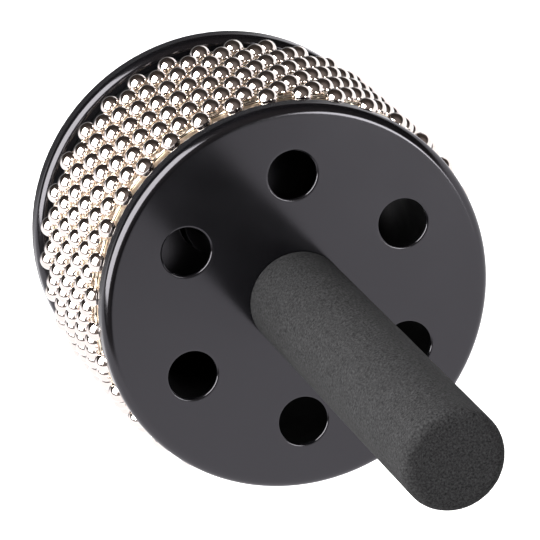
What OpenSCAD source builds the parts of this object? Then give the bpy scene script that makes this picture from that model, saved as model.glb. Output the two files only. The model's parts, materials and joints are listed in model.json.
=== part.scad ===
// Cabasa: a drum wrapped in loops of steel ball chain, on a straight foam-covered handle.
// The drum's axis is +Z. The outer face of the rear plate is at Z = 0 and the handle points up.

/* [Drum] */
// Outer diameter of both end plates
plate_d = 120; // [120:1:130]
// Height of the drum over both end plates
drum_h = 90; // [90:1:110]
// Depth of each pressed end plate, from its face to its turned-in lip
plate_depth = 8.6; // [6:0.1:9]
// Thickness of the end plates' sheet steel
sheet_t = 1.2; // [0.8:0.1:1.4]
// Radius of the round shoulder and of the round lip
shoulder_r = 2.8; // [2:0.1:2.8]
// Outer diameter of the textured steel sleeve
sleeve_d = 110.4; // [104:0.1:110.4]
// Thickness of the textured steel sleeve
sleeve_t = 0.5; // [0.3:0.1:0.8]
// Wall of the plastic core tube under the sleeve
core_wall = 3; // [2:0.5:4]
// Height of the core's bare collar between the rear plate and the sleeve's edge
collar_h = 15; // [10:0.5:16]

/* [Plate holes] */
// Number of round openings in each plate
hole_count = 6; // [3:1:7]
// Diameter of each opening
hole_d = 15; // [8:0.5:18]
// Diameter of the circle through the openings' centres
hole_pcd = 77.5; // [70:0.5:80]

/* [Ball chain] */
// Number of balls in each loop
balls_per_loop = 35; // [20:1:36]
// Diameter of a ball
ball_d = 6.6; // [5:0.1:6.6]
// Wall of a hollow ball
ball_wall = 0.5; // [0.4:0.05:0.6]
// Diameter of the circle through a loop's ball centres
loop_d = 118.2; // [118:0.1:121]
// Height from one loop to the next. The loops nest in each other
loop_pitch = 6.1; // [6:0.1:6.2]
// Height of the lowest loop's ball centres
first_loop_z = 22; // [18:0.5:23]
// Angle of the lowest loop's first ball
loop_phase = 1.2; // [0:0.1:10]
// Diameter of the pin that links two balls
link_d = 1.2; // [0.8:0.1:1.2]

/* [Handle] */
// Outer diameter of the foam grip
grip_d = 30; // [27:0.5:36]
// Length of the foam grip above the front plate
grip_len = 147; // [100:1:180]
// Radius of the grip's round free edge
grip_edge_r = 3.5; // [1:0.5:3.5]
// Thickness of the foam across the handle's free end
grip_end_t = 4; // [4:0.5:8]
// Outer diameter of the steel handle tube
tube_d = 22; // [20:0.5:24]
// Wall of the steel handle tube
tube_wall = 1.5; // [1:0.1:2]

/* [Fastening] */
// Thread diameter of the long bolt through the drum
bolt_d = 6; // [5:1:6]
// Diameter of the bolt's pan head
bolt_head_d = 12; // [11:0.5:13]
// Height of the bolt's pan head
bolt_head_h = 3.6; // [3:0.1:3.6]
// Outer diameter of the washer under the bolt's head
washer_d = 18; // [16:0.5:20]
// Thickness of that washer
washer_t = 1.2; // [1:0.1:1.2]
// Inner diameter of the round recess pressed into the rear plate for the bolt's head
recess_d = 22; // [21:0.5:24]
// Outer diameter of the spacer tube between the plates
spacer_d = 12; // [10:0.5:14]

/* [Hidden] */
$fn = 96;
LOOPS = ["01", "02", "03", "04", "05", "06", "07", "08", "09", "10"];

loop_count = len(LOOPS);                         // chain loops, one above another

small_fn = 48;                                   // facets of balls, pins and the bolt
rear_hole_turn = 180 / hole_count;               // no light shows through both plates
fit = 0.1;                                       // gap at a part that slides into another
plate_r = plate_d / 2;
lip_r = sleeve_d / 2 + 2 * fit;                  // the lip locates the sleeve
core_d = sleeve_d - 2 * sleeve_t - fit;
core_h = drum_h - 2 * sheet_t;                   // clamped between the plates' inner faces
sleeve_low = sheet_t + collar_h + fit;
sleeve_h = drum_h - sheet_t - fit - sleeve_low;
bolt_sink = 0.4;                                 // the bolt's head stays this far inside the rear face
recess_depth = bolt_sink + bolt_head_h + washer_t;
bolt_hole_d = bolt_d + 0.4;
thread_gap = 0.04;                               // the thread is drawn as a plain shank with this gap
bolt_reach = 14;                                 // how far the bolt screws into the handle's plug
socket_af = 4;                                   // across the flats of the bolt's hexagon socket
socket_depth = 2;
plug_flange_h = 3;
plug_h = 20;
cap_flange_h = 1.5;
cap_h = 10;
grip_top = drum_h + grip_len;
tube_top = grip_top - grip_end_t - cap_flange_h;
loop_r = loop_d / 2;
ball_step = 360 / balls_per_loop;
ball_hole_d = link_d + 0.7;                      // lets a link swing in its ball
link_span = 2 * loop_r * sin(ball_step / 2);     // ball centre to ball centre
link_head_d = ball_hole_d + 0.2;                 // too large to leave the ball
link_head_at = link_head_d / 2 + 0.07;           // head centre from the ball's centre, so two heads clear

plate_colour = [0.10, 0.10, 0.11];
plastic_colour = [0.06, 0.06, 0.06];
steel_colour = [0.62, 0.60, 0.57];
nickel_colour = [0.86, 0.83, 0.80];
foam_colour = [0.20, 0.20, 0.21];

// A disc outline in (radius, height): round outer corners of radius r, from z = low to z = high.
module rounded_rim(radius, low, high, r) {
    translate([0, low]) square([radius - r, high - low]);
    translate([0, low + r]) square([radius, high - low - 2 * r]);
    for (z = [low + r, high - r]) translate([radius - r, z]) circle(r = r, $fn = small_fn);
}

// The cross-section of a pan whose outer face is at z = 0: shoulder, short wall, turned-in lip.
module pan_section() {
    difference() {
        rounded_rim(plate_r, 0, plate_depth, shoulder_r);
        rounded_rim(plate_r - sheet_t, sheet_t, plate_depth - sheet_t, shoulder_r - sheet_t);
        translate([0, sheet_t]) square([lip_r, plate_depth]);
    }
}

module plate_openings(turn) {
    for (i = [0 : hole_count - 1])
        rotate(turn + i * 360 / hole_count) translate([hole_pcd / 2, 0, -1])
            cylinder(d = hole_d, h = plate_depth + 2);
}

// Pressed steel pan on the handle's side, shown with its outer face up.
module front_plate() {
    color(plate_colour) translate([0, 0, drum_h]) mirror([0, 0, 1]) difference() {
        rotate_extrude() pan_section();
        plate_openings(0);
        translate([0, 0, -1]) cylinder(d = bolt_hole_d, h = sheet_t + 2, $fn = small_fn);
    }
}

// The same pan with a recess pressed into its middle, so that the bolt's head stays inside the flat face.
module rear_plate() {
    recess_r = recess_d / 2;
    color(plate_colour) difference() {
        union() {
            rotate_extrude() pan_section();
            cylinder(r = recess_r + sheet_t, h = recess_depth + sheet_t);
        }
        translate([0, 0, -1]) cylinder(r = recess_r, h = recess_depth + 1);
        cylinder(d = bolt_hole_d, h = recess_depth + sheet_t + 1, $fn = small_fn);
        plate_openings(rear_hole_turn);
    }
}

// Black plastic tube that carries the sleeve between the plates, with a collar that the sleeve stands on.
module drum_core() {
    color(plastic_colour) translate([0, 0, sheet_t]) difference() {
        union() {
            cylinder(d = core_d, h = core_h);
            cylinder(d = sleeve_d, h = collar_h);
        }
        translate([0, 0, -1]) cylinder(d = core_d - 2 * core_wall, h = core_h + 2);
    }
}

// Rolled stainless sheet that the balls scrape on.
module textured_sleeve() {
    color(steel_colour) translate([0, 0, sleeve_low]) difference() {
        cylinder(d = sleeve_d, h = sleeve_h);
        translate([0, 0, -1]) cylinder(d = sleeve_d - 2 * sleeve_t, h = sleeve_h + 2);
    }
}

// Steel tube that keeps the plates apart when the bolt is tightened.
module centre_spacer() {
    low = recess_depth + sheet_t;
    high = drum_h - sheet_t;
    color(steel_colour) translate([0, 0, low]) difference() {
        cylinder(d = spacer_d, h = high - low, $fn = small_fn);
        translate([0, 0, -1]) cylinder(d = bolt_hole_d, h = high - low + 2, $fn = small_fn);
    }
}

module through_bolt() {
    head_top = bolt_sink + bolt_head_h;
    color(steel_colour) difference() {
        union() {
            translate([0, 0, bolt_sink]) cylinder(d = bolt_head_d, h = bolt_head_h, $fn = small_fn);
            translate([0, 0, head_top])
                cylinder(d = bolt_d, h = drum_h + bolt_reach - head_top, $fn = small_fn);
        }
        translate([0, 0, bolt_sink - 1])
            cylinder(d = socket_af / cos(30), h = socket_depth + 1, $fn = 6);
    }
}

module bolt_washer() {
    color(steel_colour) translate([0, 0, bolt_sink + bolt_head_h]) difference() {
        cylinder(d = washer_d, h = washer_t, $fn = small_fn);
        translate([0, 0, -1]) cylinder(d = bolt_hole_d, h = washer_t + 2, $fn = small_fn);
    }
}

// Flanged steel plug in the handle's lower end. The bolt screws into it.
module handle_plug() {
    color(steel_colour) translate([0, 0, drum_h]) difference() {
        union() {
            cylinder(d = tube_d, h = plug_flange_h);
            cylinder(d = tube_d - 2 * tube_wall - fit, h = plug_h);
        }
        translate([0, 0, -1]) cylinder(d = bolt_d + thread_gap, h = plug_h + 2, $fn = small_fn);
    }
}

module handle_tube() {
    low = drum_h + plug_flange_h;
    color(steel_colour) translate([0, 0, low]) difference() {
        cylinder(d = tube_d, h = tube_top - low);
        translate([0, 0, -1]) cylinder(d = tube_d - 2 * tube_wall, h = tube_top - low + 2);
    }
}

// Plastic cap that keeps the tube's end from cutting the foam.
module tube_end_cap() {
    color(plastic_colour) {
        translate([0, 0, tube_top]) cylinder(d = tube_d, h = cap_flange_h);
        translate([0, 0, tube_top - cap_h])
            cylinder(d = tube_d - 2 * tube_wall - fit, h = cap_h);
    }
}

// Foam sleeve with one closed, rounded end.
module foam_grip() {
    grip_r = grip_d / 2;
    color(foam_colour) translate([0, 0, drum_h]) rotate_extrude() difference() {
        union() {
            square([grip_r, grip_len - grip_edge_r]);
            square([grip_r - grip_edge_r, grip_len]);
            translate([grip_r - grip_edge_r, grip_len - grip_edge_r])
                circle(r = grip_edge_r, $fn = small_fn);
        }
        translate([0, -1]) square([tube_d / 2, grip_len - grip_end_t + 1]);
    }
}

// Height and turn of loop i, counted from 0 at the bottom. Every other loop is turned by half a ball.
function loop_z(i) = first_loop_z + i * loop_pitch;
function loop_turn(i) = loop_phase + (i % 2) * ball_step / 2;

// A hollow ball with a small hole at each end, its holes along Y.
module ball() {
    difference() {
        sphere(d = ball_d, $fn = small_fn);
        sphere(d = ball_d - 2 * ball_wall, $fn = small_fn);
        rotate([90, 0, 0]) cylinder(d = ball_hole_d, h = ball_d + 2, center = true, $fn = small_fn);
    }
}

// A pin along Y with a round head at each end. The heads sit inside the two balls that it joins.
module link() {
    reach = link_span / 2 - link_head_at;
    rotate([90, 0, 0]) cylinder(d = link_d, h = 2 * reach, center = true, $fn = small_fn);
    for (side = [-1, 1]) translate([0, side * reach, 0]) sphere(d = link_head_d, $fn = small_fn);
}

module loop_balls(i) {
    color(nickel_colour) for (k = [0 : balls_per_loop - 1])
        rotate(loop_turn(i) + k * ball_step) translate([loop_r, 0, loop_z(i)]) ball();
}

module loop_links(i) {
    color(nickel_colour) for (k = [0 : balls_per_loop - 1])
        rotate(loop_turn(i) + (k + 0.5) * ball_step)
            translate([loop_r * cos(ball_step / 2), 0, loop_z(i)]) link();
}

front_plate();
rear_plate();
drum_core();
textured_sleeve();
centre_spacer();
through_bolt();
bolt_washer();
handle_plug();
handle_tube();
tube_end_cap();
foam_grip();
for (i = [0 : loop_count - 1]) {
    loop_balls(i);
    loop_links(i);
}
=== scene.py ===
"""The looks of a cabasa: satin black plates, an embossed sleeve, nickel ball chain and a foam grip.

Lengths are in metres, in the CAD model's own frame: the drum's axis is +Z, its rear face is at Z = 0 and
the handle points up. Sizes come from the frame where a node's box holds them.
"""
import json
import math

import bmesh
import bpy
import numpy as np
from mathutils import Matrix, Vector, noise

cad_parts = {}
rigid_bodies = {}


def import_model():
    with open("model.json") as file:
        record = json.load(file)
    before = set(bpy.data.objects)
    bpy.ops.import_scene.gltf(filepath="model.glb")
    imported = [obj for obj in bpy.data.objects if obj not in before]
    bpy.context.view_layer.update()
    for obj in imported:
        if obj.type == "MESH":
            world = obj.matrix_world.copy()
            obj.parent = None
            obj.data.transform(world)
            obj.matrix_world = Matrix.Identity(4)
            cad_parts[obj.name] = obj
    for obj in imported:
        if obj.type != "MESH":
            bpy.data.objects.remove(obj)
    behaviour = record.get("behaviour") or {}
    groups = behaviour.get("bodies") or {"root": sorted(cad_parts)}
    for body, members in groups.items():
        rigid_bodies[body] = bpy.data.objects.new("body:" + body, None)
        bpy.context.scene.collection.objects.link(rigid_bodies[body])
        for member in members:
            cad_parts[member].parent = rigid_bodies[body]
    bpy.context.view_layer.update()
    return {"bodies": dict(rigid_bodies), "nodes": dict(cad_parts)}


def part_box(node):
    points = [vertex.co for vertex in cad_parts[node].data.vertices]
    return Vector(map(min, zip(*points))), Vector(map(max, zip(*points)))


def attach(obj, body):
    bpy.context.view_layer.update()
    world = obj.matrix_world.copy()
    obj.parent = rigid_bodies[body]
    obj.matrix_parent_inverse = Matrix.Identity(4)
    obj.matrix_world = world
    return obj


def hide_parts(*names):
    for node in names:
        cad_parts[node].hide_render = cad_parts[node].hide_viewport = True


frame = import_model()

MM = 0.001

# Plates: six openings, turned by half a step in the rear plate, and the rear recess for the bolt's head
HOLE_COUNT = 6
HOLE_R = 7.5 * MM
HOLE_CIRCLE_R = 38.75 * MM
SHEET = 1.2 * MM
SHOULDER_R = 2.8 * MM
LIP_R = 55.4 * MM
BOLT_HOLE_R = 3.2 * MM
RECESS_R = 11 * MM
RECESS_DEPTH = 5.2 * MM
EDGE_R = 0.55 * MM
LIP_EDGE_R = 0.3 * MM
RECESS_EDGE_R = 0.5 * MM
BOLT_HOLE_EDGE_R = 0.2 * MM
PLATE_SEGMENTS = 256
HOLE_SEGMENTS = 72
BOLT_HOLE_SEGMENTS = 32
RECESS_SEGMENTS = 96

# Ball chain
BALLS = 35
LOOP_R = 59.1 * MM
FIRST_BALL_ANGLE = math.radians(1.2)
BALL_WALL = 0.5 * MM
BALL_HOLE_R = 0.95 * MM
LINK_R = 0.6 * MM
LINK_HEAD_R = 1.05 * MM
LINK_HEAD_AT = 1.12 * MM
BALL_LIP = 0.16 * MM
BALL_LIP_RISE = 0.04 * MM
BALL_LIP_DROP = 0.08 * MM
BALL_SPIN = 2.4
BALL_SEGMENTS = 36
LINK_SEGMENTS = 20
LOOPS = sorted(name for name in frame["bodies"] if name.startswith("chain_loop_"))

# Sleeve
EMBOSS_PITCH = 4.4 * MM
EMBOSS_HEIGHT = 0.3 * MM
STEPS_AROUND = 7
STEPS_ALONG = 6

# Grip
GRIP_EDGE_R = 3.5 * MM
GRIP_FOOT_R = 0.8 * MM
GRIP_SEGMENTS = 192
PORE_DEPTH = 0.05 * MM
PORES_PER_METRE = 700
DENTS_PER_METRE = 90

# Camera, as seen from the point on the drum's axis that it looks at, with angles in degrees
LOOK_AT = Vector((0, 0, 0.0605))
CAMERA_AZIMUTH = -81.2
CAMERA_ELEVATION = 65.82
CAMERA_ROLL = -135.97
CAMERA_DISTANCE = 1.4624
CAMERA_LENS = 321.15

# Floor
FLOOR_RADIUS = 5.0
FLOOR_RISE = 3.0
FLOOR_BEND = 1.5


# Mesh helpers

def arc(centre, radius, start, end, steps):
    """Points (r, z) on an arc, angles in degrees, both ends included."""
    angles = np.radians(np.linspace(start, end, steps + 1))
    return [(centre[0] + radius * math.cos(a), centre[1] + radius * math.sin(a)) for a in angles]


def turned(bm, profile, segments, place=Matrix.Identity(4), closed=False):
    """Turns a profile of (r, z) points about Z. Returns the rings of vertices."""
    rings = []
    for r, z in profile:
        ring = []
        for k in range(segments):
            a = 2 * math.pi * k / segments
            ring.append(bm.verts.new(place @ Vector((r * math.cos(a), r * math.sin(a), z))))
        rings.append(ring)
    pairs = list(zip(rings, rings[1:]))
    if closed:
        pairs.append((rings[-1], rings[0]))
    for low, high in pairs:
        for k in range(segments):
            n = (k + 1) % segments
            bm.faces.new((low[k], low[n], high[n], high[k]))
    return rings


def edges_of(ring):
    """The edges round a closed ring of vertices."""
    found = []
    for a, b in zip(ring, ring[1:] + ring[:1]):
        found.append(next(e for e in a.link_edges if b in e.verts))
    return found


def finished(bm, name, body, material, replaced=()):
    """Makes the piece from a bmesh: smooth, on its body, with its material, slot and replaced nodes."""
    bmesh.ops.recalc_face_normals(bm, faces=bm.faces)
    mesh = bpy.data.meshes.new(name)
    bm.to_mesh(mesh)
    bm.free()
    mesh.polygons.foreach_set("use_smooth", [True] * len(mesh.polygons))
    piece = bpy.data.objects.new(name, mesh)
    bpy.context.scene.collection.objects.link(piece)
    mesh.materials.append(material)
    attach(piece, body)
    if replaced:
        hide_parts(*replaced)
    return piece


def face_weighted(piece):
    """Flat faces stay flat in the shading, and only the small rounds turn."""
    modifier = piece.modifiers.new("weighted_normals", "WEIGHTED_NORMAL")
    modifier.mode = "FACE_AREA_WITH_ANGLE"
    modifier.weight = 100
    return piece


# Material helpers

def new_material(name):
    """An empty node material with its Principled shader."""
    material = bpy.data.materials.new(name)
    material.use_nodes = True
    tree = material.node_tree
    shader = next(n for n in tree.nodes if n.type == "BSDF_PRINCIPLED")
    return material, tree, shader


def node(tree, kind, **values):
    """A new node, with its properties and inputs set by name."""
    made = tree.nodes.new(kind)
    for key, value in values.items():
        if key in made.inputs:
            made.inputs[key].default_value = value
        else:
            setattr(made, key, value)
    return made


def grain(tree, scale, detail=2.0, roughness=0.5, stretch=(1, 1, 1)):
    """Noise in the object's own coordinates, with so many features to the metre."""
    where = node(tree, "ShaderNodeTexCoord")
    spread = node(tree, "ShaderNodeMapping")
    spread.inputs["Scale"].default_value = stretch
    made = node(tree, "ShaderNodeTexNoise", Scale=scale, Detail=detail, Roughness=roughness)
    tree.links.new(where.outputs["Object"], spread.inputs["Vector"])
    tree.links.new(spread.outputs["Vector"], made.inputs["Vector"])
    return made


def ramp(tree, source, low, high, start=0.0, end=1.0):
    """A colour ramp from low at start to high at end."""
    made = node(tree, "ShaderNodeValToRGB")
    made.color_ramp.elements[0].position = start
    made.color_ramp.elements[1].position = end
    made.color_ramp.elements[0].color = (*low, 1)
    made.color_ramp.elements[1].color = (*high, 1)
    tree.links.new(source, made.inputs["Fac"])
    return made


def between(tree, source, low, high, start=0.0, end=1.0):
    """A value from low at start to high at end."""
    made = node(tree, "ShaderNodeMapRange")
    made.inputs["From Min"].default_value = start
    made.inputs["From Max"].default_value = end
    made.inputs["To Min"].default_value = low
    made.inputs["To Max"].default_value = high
    tree.links.new(source, made.inputs["Value"])
    return made


def bump(tree, source, shader, distance, strength=1.0, before=None):
    """Adds a bump of that real height in metres."""
    made = node(tree, "ShaderNodeBump", Strength=strength, Distance=distance)
    tree.links.new(source, made.inputs["Height"])
    if before is not None:
        tree.links.new(before.outputs["Normal"], made.inputs["Normal"])
    tree.links.new(made.outputs["Normal"], shader.inputs["Normal"])
    return made


# Materials

def satin_coating():
    """Black powder coat: a fine orange peel, slightly uneven gloss."""
    material, tree, shader = new_material("satin_black_coating")
    shader.inputs["IOR"].default_value = 1.6
    shader.inputs["Specular Tint"].default_value = (0.96, 0.93, 1.0, 1)
    cloud = grain(tree, 60, 3)
    peel = grain(tree, 1400, 2)
    tint = ramp(tree, cloud.outputs["Fac"], (0.0014, 0.0014, 0.0017), (0.0022, 0.0022, 0.0027), 0.35, 0.65)
    gloss = between(tree, cloud.outputs["Fac"], 0.12, 0.15, 0.3, 0.7)
    tree.links.new(tint.outputs["Color"], shader.inputs["Base Color"])
    tree.links.new(gloss.outputs["Result"], shader.inputs["Roughness"])
    bump(tree, peel.outputs["Fac"], shader, 0.004 * MM, 0.6)
    return material


def nickel():
    """Bright, slightly warm nickel plate with faint hairline wear."""
    material, tree, shader = new_material("bright_nickel")
    shader.inputs["Metallic"].default_value = 1.0
    cloud = grain(tree, 180, 3)
    hairline = grain(tree, 2600, 2, stretch=(1, 1, 0.25))
    tint = ramp(tree, cloud.outputs["Fac"], (0.78, 0.71, 0.66), (0.86, 0.79, 0.74), 0.3, 0.7)
    gloss = between(tree, hairline.outputs["Fac"], 0.05, 0.12, 0.3, 0.7)
    tree.links.new(tint.outputs["Color"], shader.inputs["Base Color"])
    tree.links.new(gloss.outputs["Result"], shader.inputs["Roughness"])
    bump(tree, hairline.outputs["Fac"], shader, 0.002 * MM, 0.3)
    return material


def warm_metal(name, low, high, gloss_low, gloss_high):
    """A metal whose colour and gloss drift a little over its surface."""
    material, tree, shader = new_material(name)
    shader.inputs["Metallic"].default_value = 1.0
    cloud = grain(tree, 400, 3)
    brushing = grain(tree, 3000, 2, stretch=(1, 1, 0.1))
    tint = ramp(tree, cloud.outputs["Fac"], low, high, 0.3, 0.7)
    gloss = between(tree, brushing.outputs["Fac"], gloss_low, gloss_high, 0.3, 0.7)
    tree.links.new(tint.outputs["Color"], shader.inputs["Base Color"])
    tree.links.new(gloss.outputs["Result"], shader.inputs["Roughness"])
    bump(tree, brushing.outputs["Fac"], shader, 0.003 * MM, 0.4)
    return material


def black_plastic():
    """Dull moulded plastic of the core and the tube's cap."""
    material, tree, shader = new_material("black_moulded_plastic")
    shader.inputs["Specular IOR Level"].default_value = 0.2
    cloud = grain(tree, 90, 3)
    texture = grain(tree, 2500, 2)
    tint = ramp(tree, cloud.outputs["Fac"], (0.0010, 0.0010, 0.0011), (0.0018, 0.0018, 0.0019), 0.3, 0.7)
    gloss = between(tree, cloud.outputs["Fac"], 0.55, 0.7, 0.3, 0.7)
    tree.links.new(tint.outputs["Color"], shader.inputs["Base Color"])
    tree.links.new(gloss.outputs["Result"], shader.inputs["Roughness"])
    bump(tree, texture.outputs["Fac"], shader, 0.01 * MM, 0.5)
    return material


def foam():
    """Closed-cell foam: dull dark grey, with fine pores that show as a speckle."""
    material, tree, shader = new_material("foam_rubber")
    shader.inputs["Roughness"].default_value = 0.85
    shader.inputs["Specular IOR Level"].default_value = 0.1
    speckle = grain(tree, 1600, 3, 0.7)
    where = node(tree, "ShaderNodeTexCoord")
    pores = node(tree, "ShaderNodeTexVoronoi", Scale=1500.0, feature="F1")
    tree.links.new(where.outputs["Object"], pores.inputs["Vector"])
    tint = ramp(tree, speckle.outputs["Fac"], (0.004, 0.004, 0.0041), (0.028, 0.028, 0.0285), 0.34, 0.68)
    tree.links.new(tint.outputs["Color"], shader.inputs["Base Color"])
    first = bump(tree, pores.outputs["Distance"], shader, 0.12 * MM, 0.7)
    bump(tree, speckle.outputs["Fac"], shader, 0.12 * MM, 0.8, before=first)
    return material


COATING = satin_coating()
NICKEL = nickel()
LINK_METAL = warm_metal("warm_nickel_pins", (0.76, 0.66, 0.52), (0.90, 0.82, 0.68), 0.10, 0.22)
# The sleeve is stainless steel: its warm brown tint is a painted reflection of the nickel balls, mixed into
# the steel's own grey.
SLEEVE_STEEL_WITH_PAINTED_REFLECTION = warm_metal("embossed_steel_painted_warm_reflection", (0.56, 0.48, 0.40), (0.72, 0.65, 0.57), 0.30, 0.42)
ZINC = warm_metal("zinc_plated_steel", (0.50, 0.51, 0.53), (0.62, 0.63, 0.65), 0.25, 0.40)
PLASTIC = black_plastic()
FOAM = foam()


# Plates

def hole_centres(turn):
    """Centres of the six openings, the first one at the angle turn."""
    angles = [turn + k * 2 * math.pi / HOLE_COUNT for k in range(HOLE_COUNT)]
    return [Vector((HOLE_CIRCLE_R * math.cos(a), HOLE_CIRCLE_R * math.sin(a), 0)) for a in angles]


def rim_profile(plate_r, depth):
    """From the outer face, round the shoulder, wall and turned-in lip, back to the inner face."""
    low = SHOULDER_R
    high = depth - SHOULDER_R
    centre_r = plate_r - SHOULDER_R
    inner_r = SHOULDER_R - SHEET
    flat_r = centre_r - 0.5 * MM
    profile = [(flat_r, 0)]
    profile += arc((centre_r, low), SHOULDER_R, -90, 0, 16)
    profile += arc((centre_r, high), SHOULDER_R, 0, 90, 16)
    profile += arc((LIP_R + LIP_EDGE_R, depth - LIP_EDGE_R), LIP_EDGE_R, 90, 180, 4)
    profile += arc((LIP_R + LIP_EDGE_R, depth - SHEET + LIP_EDGE_R), LIP_EDGE_R, 180, 270, 4)
    profile += arc((centre_r, high), inner_r, 90, 0, 8)
    profile += arc((centre_r, low), inner_r, 0, -90, 8)
    profile.append((flat_r, SHEET))
    return profile


def hole_profile(radius):
    """From the outer face, over a small round, through the sheet to the inner face."""
    wide = radius + EDGE_R
    flat_r = wide + 0.4 * MM
    profile = [(flat_r, 0)]
    profile += arc((wide, EDGE_R), EDGE_R, 270, 180, 5)
    profile += arc((wide, SHEET - EDGE_R), EDGE_R, 180, 90, 5)
    profile.append((flat_r, SHEET))
    return profile


def recess_profile():
    """The rear plate's middle: a pressed cup with a hole for the bolt."""
    soft = RECESS_EDGE_R
    small = BOLT_HOLE_EDGE_R
    top = RECESS_DEPTH + SHEET
    wall_r = RECESS_R + SHEET
    profile = [(RECESS_R + soft + 0.6 * MM, 0)]
    profile += arc((RECESS_R + soft, soft), soft, 270, 180, 5)
    profile += arc((RECESS_R - soft, RECESS_DEPTH - soft), soft, 0, 90, 5)
    profile += arc((BOLT_HOLE_R + small, RECESS_DEPTH + small), small, 270, 180, 3)
    profile.append((BOLT_HOLE_R, top))
    profile += arc((wall_r - soft, top - soft), soft, 90, 0, 5)
    profile.append((wall_r, SHEET))
    profile.append((wall_r + 0.6 * MM, SHEET))
    return profile


def plate(name, node_name, up, hole_turn, middle, middle_segments):
    """One pressed pan with its own middle. From the outer face, up is the way into the pan: 1 or -1."""
    low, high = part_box(node_name)
    plate_r = (high.x - low.x) / 2
    depth = high.z - low.z
    outer_z = low.z if up > 0 else high.z
    place = Matrix.Translation((0, 0, outer_z)) @ Matrix.Diagonal((1, 1, up, 1))
    bm = bmesh.new()
    rim = turned(bm, rim_profile(plate_r, depth), PLATE_SEGMENTS, place)
    centre = turned(bm, middle, middle_segments, place)
    outer_edges = edges_of(rim[0]) + edges_of(centre[0])
    inner_edges = edges_of(rim[-1]) + edges_of(centre[-1])
    for hole in hole_centres(hole_turn):
        at = place @ Matrix.Translation(hole)
        rings = turned(bm, hole_profile(HOLE_R), HOLE_SEGMENTS, at)
        outer_edges += edges_of(rings[0])
        inner_edges += edges_of(rings[-1])
    for edges in (outer_edges, inner_edges):
        bmesh.ops.triangle_fill(bm, edges=edges, use_beauty=True, normal=(0, 0, 1))
    piece = finished(bm, name, "drum", COATING, [node_name])
    return face_weighted(piece)


def make_plates():
    plate("front_pan", "front_plate", -1, 0, hole_profile(BOLT_HOLE_R), BOLT_HOLE_SEGMENTS)
    plate("rear_pan", "rear_plate", 1, math.pi / HOLE_COUNT, recess_profile(), RECESS_SEGMENTS)


# Sleeve

def emboss(lozenges, z):
    """Height of the stamped pattern, 0 to 1, so many lozenges round the sleeve: upright and staggered."""
    row = math.floor(z / EMBOSS_PITCH)
    u = (lozenges + 0.5 * (row % 2)) % 1.0 - 0.5
    v = (z / EMBOSS_PITCH) % 1.0 - 0.5
    reach = 1 - (abs(u) * 2.2 + abs(v) * 2.0)
    return min(max(reach * 2.5, 0.0), 1.0)


def make_sleeve():
    """The sleeve's tube with a stamped outside. The flats between the lozenges keep the CAD radius."""
    low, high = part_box("textured_sleeve")
    radius = (high.x - low.x) / 2
    around = round(2 * math.pi * radius / EMBOSS_PITCH)
    segments = around * STEPS_AROUND
    rows = round((high.z - low.z) / EMBOSS_PITCH * STEPS_ALONG)
    bm = bmesh.new()
    rings = []
    for j in range(rows + 1):
        z = low.z + (high.z - low.z) * j / rows
        ring = []
        for k in range(segments):
            a = 2 * math.pi * k / segments
            r = radius + EMBOSS_HEIGHT * emboss(k / STEPS_AROUND, z)
            ring.append(bm.verts.new((r * math.cos(a), r * math.sin(a), z)))
        rings.append(ring)
    for lower, upper in zip(rings, rings[1:]):
        for k in range(segments):
            n = (k + 1) % segments
            bm.faces.new((lower[k], lower[n], upper[n], upper[k]))
    finished(bm, "embossed_sleeve", "drum", SLEEVE_STEEL_WITH_PAINTED_REFLECTION, ["textured_sleeve"])


# Ball chain

def ball_profile(radius):
    """A hollow ball about its chain axis: outside, rolled lips at both holes, inside."""
    start = math.degrees(math.asin((BALL_HOLE_R + BALL_LIP) / radius))
    inner = radius - BALL_WALL
    inner_start = math.degrees(math.asin((BALL_HOLE_R + BALL_LIP) / inner))
    outside = arc((0, 0), radius, -90 + start, 90 - start, 18)
    inside = arc((0, 0), inner, 90 - inner_start, -90 + inner_start, 8)
    outer_z = outside[-1][1]
    middle_z = (outer_z + inside[0][1]) / 2
    lip_r = BALL_HOLE_R + BALL_LIP_RISE
    lip_z = outer_z - BALL_LIP_DROP
    top = [(lip_r, lip_z), (BALL_HOLE_R, middle_z)]
    bottom = [(BALL_HOLE_R, -middle_z), (lip_r, -lip_z)]
    return outside + top + inside + bottom


def link_profile(span):
    """A headed pin about its own axis, from one head to the other."""
    reach = span / 2 - LINK_HEAD_AT
    neck = math.degrees(math.asin(LINK_R / LINK_HEAD_R))
    low = arc((0, -reach), LINK_HEAD_R, -89, 90 - neck, 7)
    high = arc((0, reach), LINK_HEAD_R, -90 + neck, 89, 7)
    return low + high


def along_loop(angle, radius, z, spin):
    """Places something made about Z so that its axis lies along the loop at that angle."""
    return (Matrix.Rotation(angle, 4, "Z") @ Matrix.Translation((radius, 0, z))
            @ Matrix.Rotation(math.radians(90), 4, "X") @ Matrix.Rotation(spin, 4, "Z"))


def make_loop(body, number):
    """One loop of chain: its balls and the pins between them."""
    balls_node = f"loop_{number:02d}_balls"
    links_node = f"loop_{number:02d}_links"
    low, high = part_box(balls_node)
    radius = (high.z - low.z) / 2
    z = (high.z + low.z) / 2
    step = 2 * math.pi / BALLS
    first = FIRST_BALL_ANGLE + (number - 1) % 2 * step / 2
    span = 2 * LOOP_R * math.sin(step / 2)
    balls = bmesh.new()
    links = bmesh.new()
    for k in range(BALLS):
        spin = BALL_SPIN * (k + 3 * number)
        place = along_loop(first + k * step, LOOP_R, z, spin)
        turned(balls, ball_profile(radius), BALL_SEGMENTS, place, closed=True)
        place = along_loop(first + (k + 0.5) * step, LOOP_R * math.cos(step / 2), z, spin)
        turned(links, link_profile(span), LINK_SEGMENTS, place)
    finished(balls, f"chain_balls_{number:02d}", body, NICKEL, [balls_node])
    finished(links, f"chain_pins_{number:02d}", body, LINK_METAL, [links_node])


def make_chain():
    for body in LOOPS:
        make_loop(body, int(body.rsplit("_", 1)[1]))


# Grip

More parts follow.
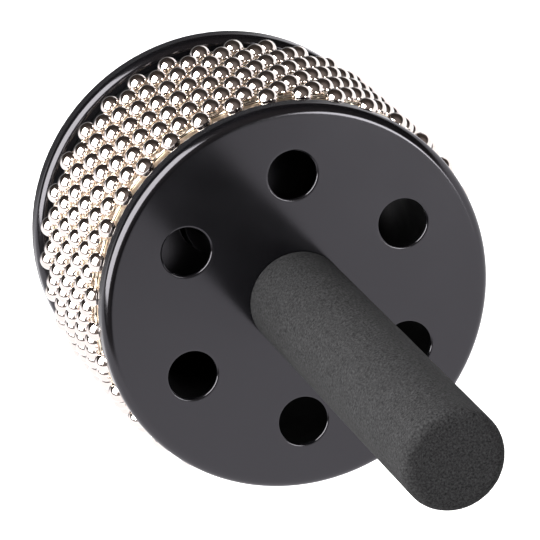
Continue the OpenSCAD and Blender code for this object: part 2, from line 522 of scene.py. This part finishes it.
def grip_profile(low, high, radius):
    """Outside of the foam, from its foot on the plate to the middle of its free end."""
    profile = arc((radius - GRIP_FOOT_R, low + GRIP_FOOT_R), GRIP_FOOT_R, -80, 0, 5)
    shaft = np.linspace(low + GRIP_FOOT_R, high - GRIP_EDGE_R, 170)[1:-1]
    profile += [(radius, z) for z in shaft]
    profile += arc((radius - GRIP_EDGE_R, high - GRIP_EDGE_R), GRIP_EDGE_R, 0, 90, 14)
    end = np.linspace(radius - GRIP_EDGE_R, 0.4 * MM, 16)[1:]
    profile += [(r, high) for r in end]
    return profile


def make_grip():
    """The foam's outside, with pores pressed into the surface. It stays smooth where it meets the plate."""
    low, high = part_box("foam_grip")
    radius = (high.x - low.x) / 2
    bm = bmesh.new()
    rings = turned(bm, grip_profile(low.z, high.z, radius), GRIP_SEGMENTS)
    for end in (rings[0], rings[-1]):
        bm.faces.new(end)
    bmesh.ops.recalc_face_normals(bm, faces=bm.faces)
    bm.normal_update()
    for v in bm.verts:
        if v.co.z > low.z + 1 * MM:
            cell = noise.noise(v.co * PORES_PER_METRE) + 0.5 * noise.noise(v.co * DENTS_PER_METRE)
            v.co += v.normal * (PORE_DEPTH * (cell - 1))
    grip = finished(bm, "foam_handle_grip", "drum", FOAM, ["foam_grip"])


# CAD nodes that stay

def dress(node_name, material):
    """Gives a CAD node that stays its material and slot."""
    obj = frame["nodes"][node_name]
    obj.data.materials.clear()
    obj.data.materials.append(material)


def dress_nodes():
    for name in ("centre_spacer", "through_bolt", "bolt_washer", "handle_plug", "handle_tube"):
        dress(name, ZINC)
    for name in ("drum_core", "tube_end_cap"):
        dress(name, PLASTIC)


# Stage, light and camera

def toward(azimuth, elevation):
    """Unit vector, from angles in degrees."""
    a = math.radians(azimuth)
    e = math.radians(elevation)
    return Vector((math.cos(a) * math.cos(e), math.sin(a) * math.cos(e), math.sin(e)))


def softbox(name, shape, azimuth, elevation, distance, width, height, radiance):
    """A soft box that faces the drum, with its own radiance whatever its size."""
    data = bpy.data.lights.new(name, "AREA")
    data.shape = shape
    data.size = width
    data.size_y = height
    area = width * height * (math.pi / 4 if shape == "ELLIPSE" else 1)
    data.energy = radiance * math.pi * area
    lamp = bpy.data.objects.new(name, data)
    bpy.context.scene.collection.objects.link(lamp)
    away = toward(azimuth, elevation)
    lamp.location = LOOK_AT + away * distance
    lamp.rotation_mode = "QUATERNION"
    lamp.rotation_quaternion = away.to_track_quat("Z", "Y")
    lamp.visible_camera = False


def sky_fade(tree, direction, inner, outer, near, far):
    """A value of the sky that runs from near, round one direction, to far. Angles are in degrees."""
    where = node(tree, "ShaderNodeTexCoord")
    closeness = node(tree, "ShaderNodeVectorMath", operation="DOT_PRODUCT")
    closeness.inputs[1].default_value = direction
    tree.links.new(where.outputs["Generated"], closeness.inputs[0])
    fade = node(tree, "ShaderNodeMapRange", interpolation_type="SMOOTHSTEP")
    fade.inputs["From Min"].default_value = math.cos(math.radians(outer))
    fade.inputs["From Max"].default_value = math.cos(math.radians(inner))
    fade.inputs["To Min"].default_value = far
    fade.inputs["To Max"].default_value = near
    tree.links.new(closeness.outputs["Value"], fade.inputs["Value"])
    return fade.outputs["Result"]


def sky_patch(tree, total, direction, inner, outer, radiance, tint):
    """Adds a soft round bright area to the sky."""
    fade = sky_fade(tree, direction, inner, outer, radiance, 0)
    colour = node(tree, "ShaderNodeVectorMath", operation="SCALE")
    colour.inputs[0].default_value = tint
    tree.links.new(fade, colour.inputs["Scale"])
    added = node(tree, "ShaderNodeVectorMath", operation="ADD")
    tree.links.new(total, added.inputs[0])
    tree.links.new(colour.outputs["Vector"], added.inputs[1])
    return added.outputs["Vector"]


def sky_shade(tree, total, direction, inner, outer, kept):
    """Darkens the sky round one direction to the kept share of its light."""
    fade = sky_fade(tree, direction, inner, outer, kept, 1)
    shaded = node(tree, "ShaderNodeVectorMath", operation="SCALE")
    tree.links.new(total, shaded.inputs[0])
    tree.links.new(fade, shaded.inputs["Scale"])
    return shaded.outputs["Vector"]


def make_sky():
    """What the coat and the metal mirror: a dim warm room, and a wide white sheet low down and behind.

    The room is lighter round the camera and dark above the sheet, and the sheet is dark below the drum.
    """
    world = bpy.data.worlds.new("studio")
    bpy.context.scene.world = world
    world.use_nodes = True
    tree = world.node_tree
    background = next(n for n in tree.nodes if n.type == "BACKGROUND")
    base = node(tree, "ShaderNodeCombineXYZ", X=0.040, Y=0.033, Z=0.030)
    total = base.outputs["Vector"]
    total = sky_patch(tree, total, toward(-81, 66), 0, 80, 0.18, (1, 0.86, 0.82))
    total = sky_shade(tree, total, toward(95, 74), 8, 35, 0.3)
    total = sky_patch(tree, total, toward(80, -24), 91.5, 96, 1.30, (0.99, 0.98, 1.02))
    total = sky_shade(tree, total, toward(-97, -76), 22, 38, 0.12)
    tree.links.new(total, background.inputs["Color"])


def make_lights():
    softbox("key_softbox", "RECTANGLE", -57, 23, 0.9, 1.2, 0.92, 10)
    softbox("side_softbox", "ELLIPSE", 150, 67, 1.3, 0.56, 0.34, 12)


def make_floor():
    """Pale paper that curves up far away. It lights the object but isn't mirrored in it."""
    material, tree, shader = new_material("pale_paper")
    fibre = grain(tree, 40, 3)
    tint = ramp(tree, fibre.outputs["Fac"], (0.86, 0.86, 0.86), (0.88, 0.88, 0.88), 0.3, 0.7)
    tree.links.new(tint.outputs["Color"], shader.inputs["Base Color"])
    shader.inputs["Roughness"].default_value = 0.9
    shader.inputs["Emission Color"].default_value = (1, 1, 1, 1)
    shader.inputs["Emission Strength"].default_value = 0.6
    profile = [(0.001, 0), (0.3, 0), (1.0, 0)]
    profile += arc((FLOOR_RADIUS - FLOOR_BEND, FLOOR_BEND), FLOOR_BEND, -90, 0, 16)
    profile.append((FLOOR_RADIUS, FLOOR_RISE))
    bm = bmesh.new()
    rings = turned(bm, profile, 96)
    bm.faces.new(rings[0])
    mesh = bpy.data.meshes.new("paper_floor")
    bm.to_mesh(mesh)
    bm.free()
    floor = bpy.data.objects.new("paper_floor", mesh)
    bpy.context.scene.collection.objects.link(floor)
    mesh.materials.append(material)
    floor.visible_glossy = False


def make_camera():
    """A long lens from above and in front, rolled so that the handle points down to the right."""
    roll = math.radians(CAMERA_ROLL)
    back = toward(CAMERA_AZIMUTH, CAMERA_ELEVATION)
    level_up = (Vector((0, 0, 1)) - back * back.z).normalized()
    level_right = level_up.cross(back)
    up = level_up * math.cos(roll) + level_right * math.sin(roll)
    right = up.cross(back)
    data = bpy.data.cameras.new("camera")
    data.lens = CAMERA_LENS
    data.sensor_width = 36
    data.clip_start = 0.05
    data.clip_end = 50
    camera = bpy.data.objects.new("camera", data)
    bpy.context.scene.collection.objects.link(camera)
    turn = Matrix((right, up, back)).transposed()
    camera.matrix_world = Matrix.Translation(LOOK_AT + back * CAMERA_DISTANCE) @ turn.to_4x4()
    bpy.context.scene.camera = camera


def make_studio():
    bpy.context.scene.view_settings.view_transform = "Standard"
    make_sky()
    make_lights()
    make_floor()
    make_camera()


make_plates()
make_sleeve()
make_chain()
make_grip()
dress_nodes()
make_studio()
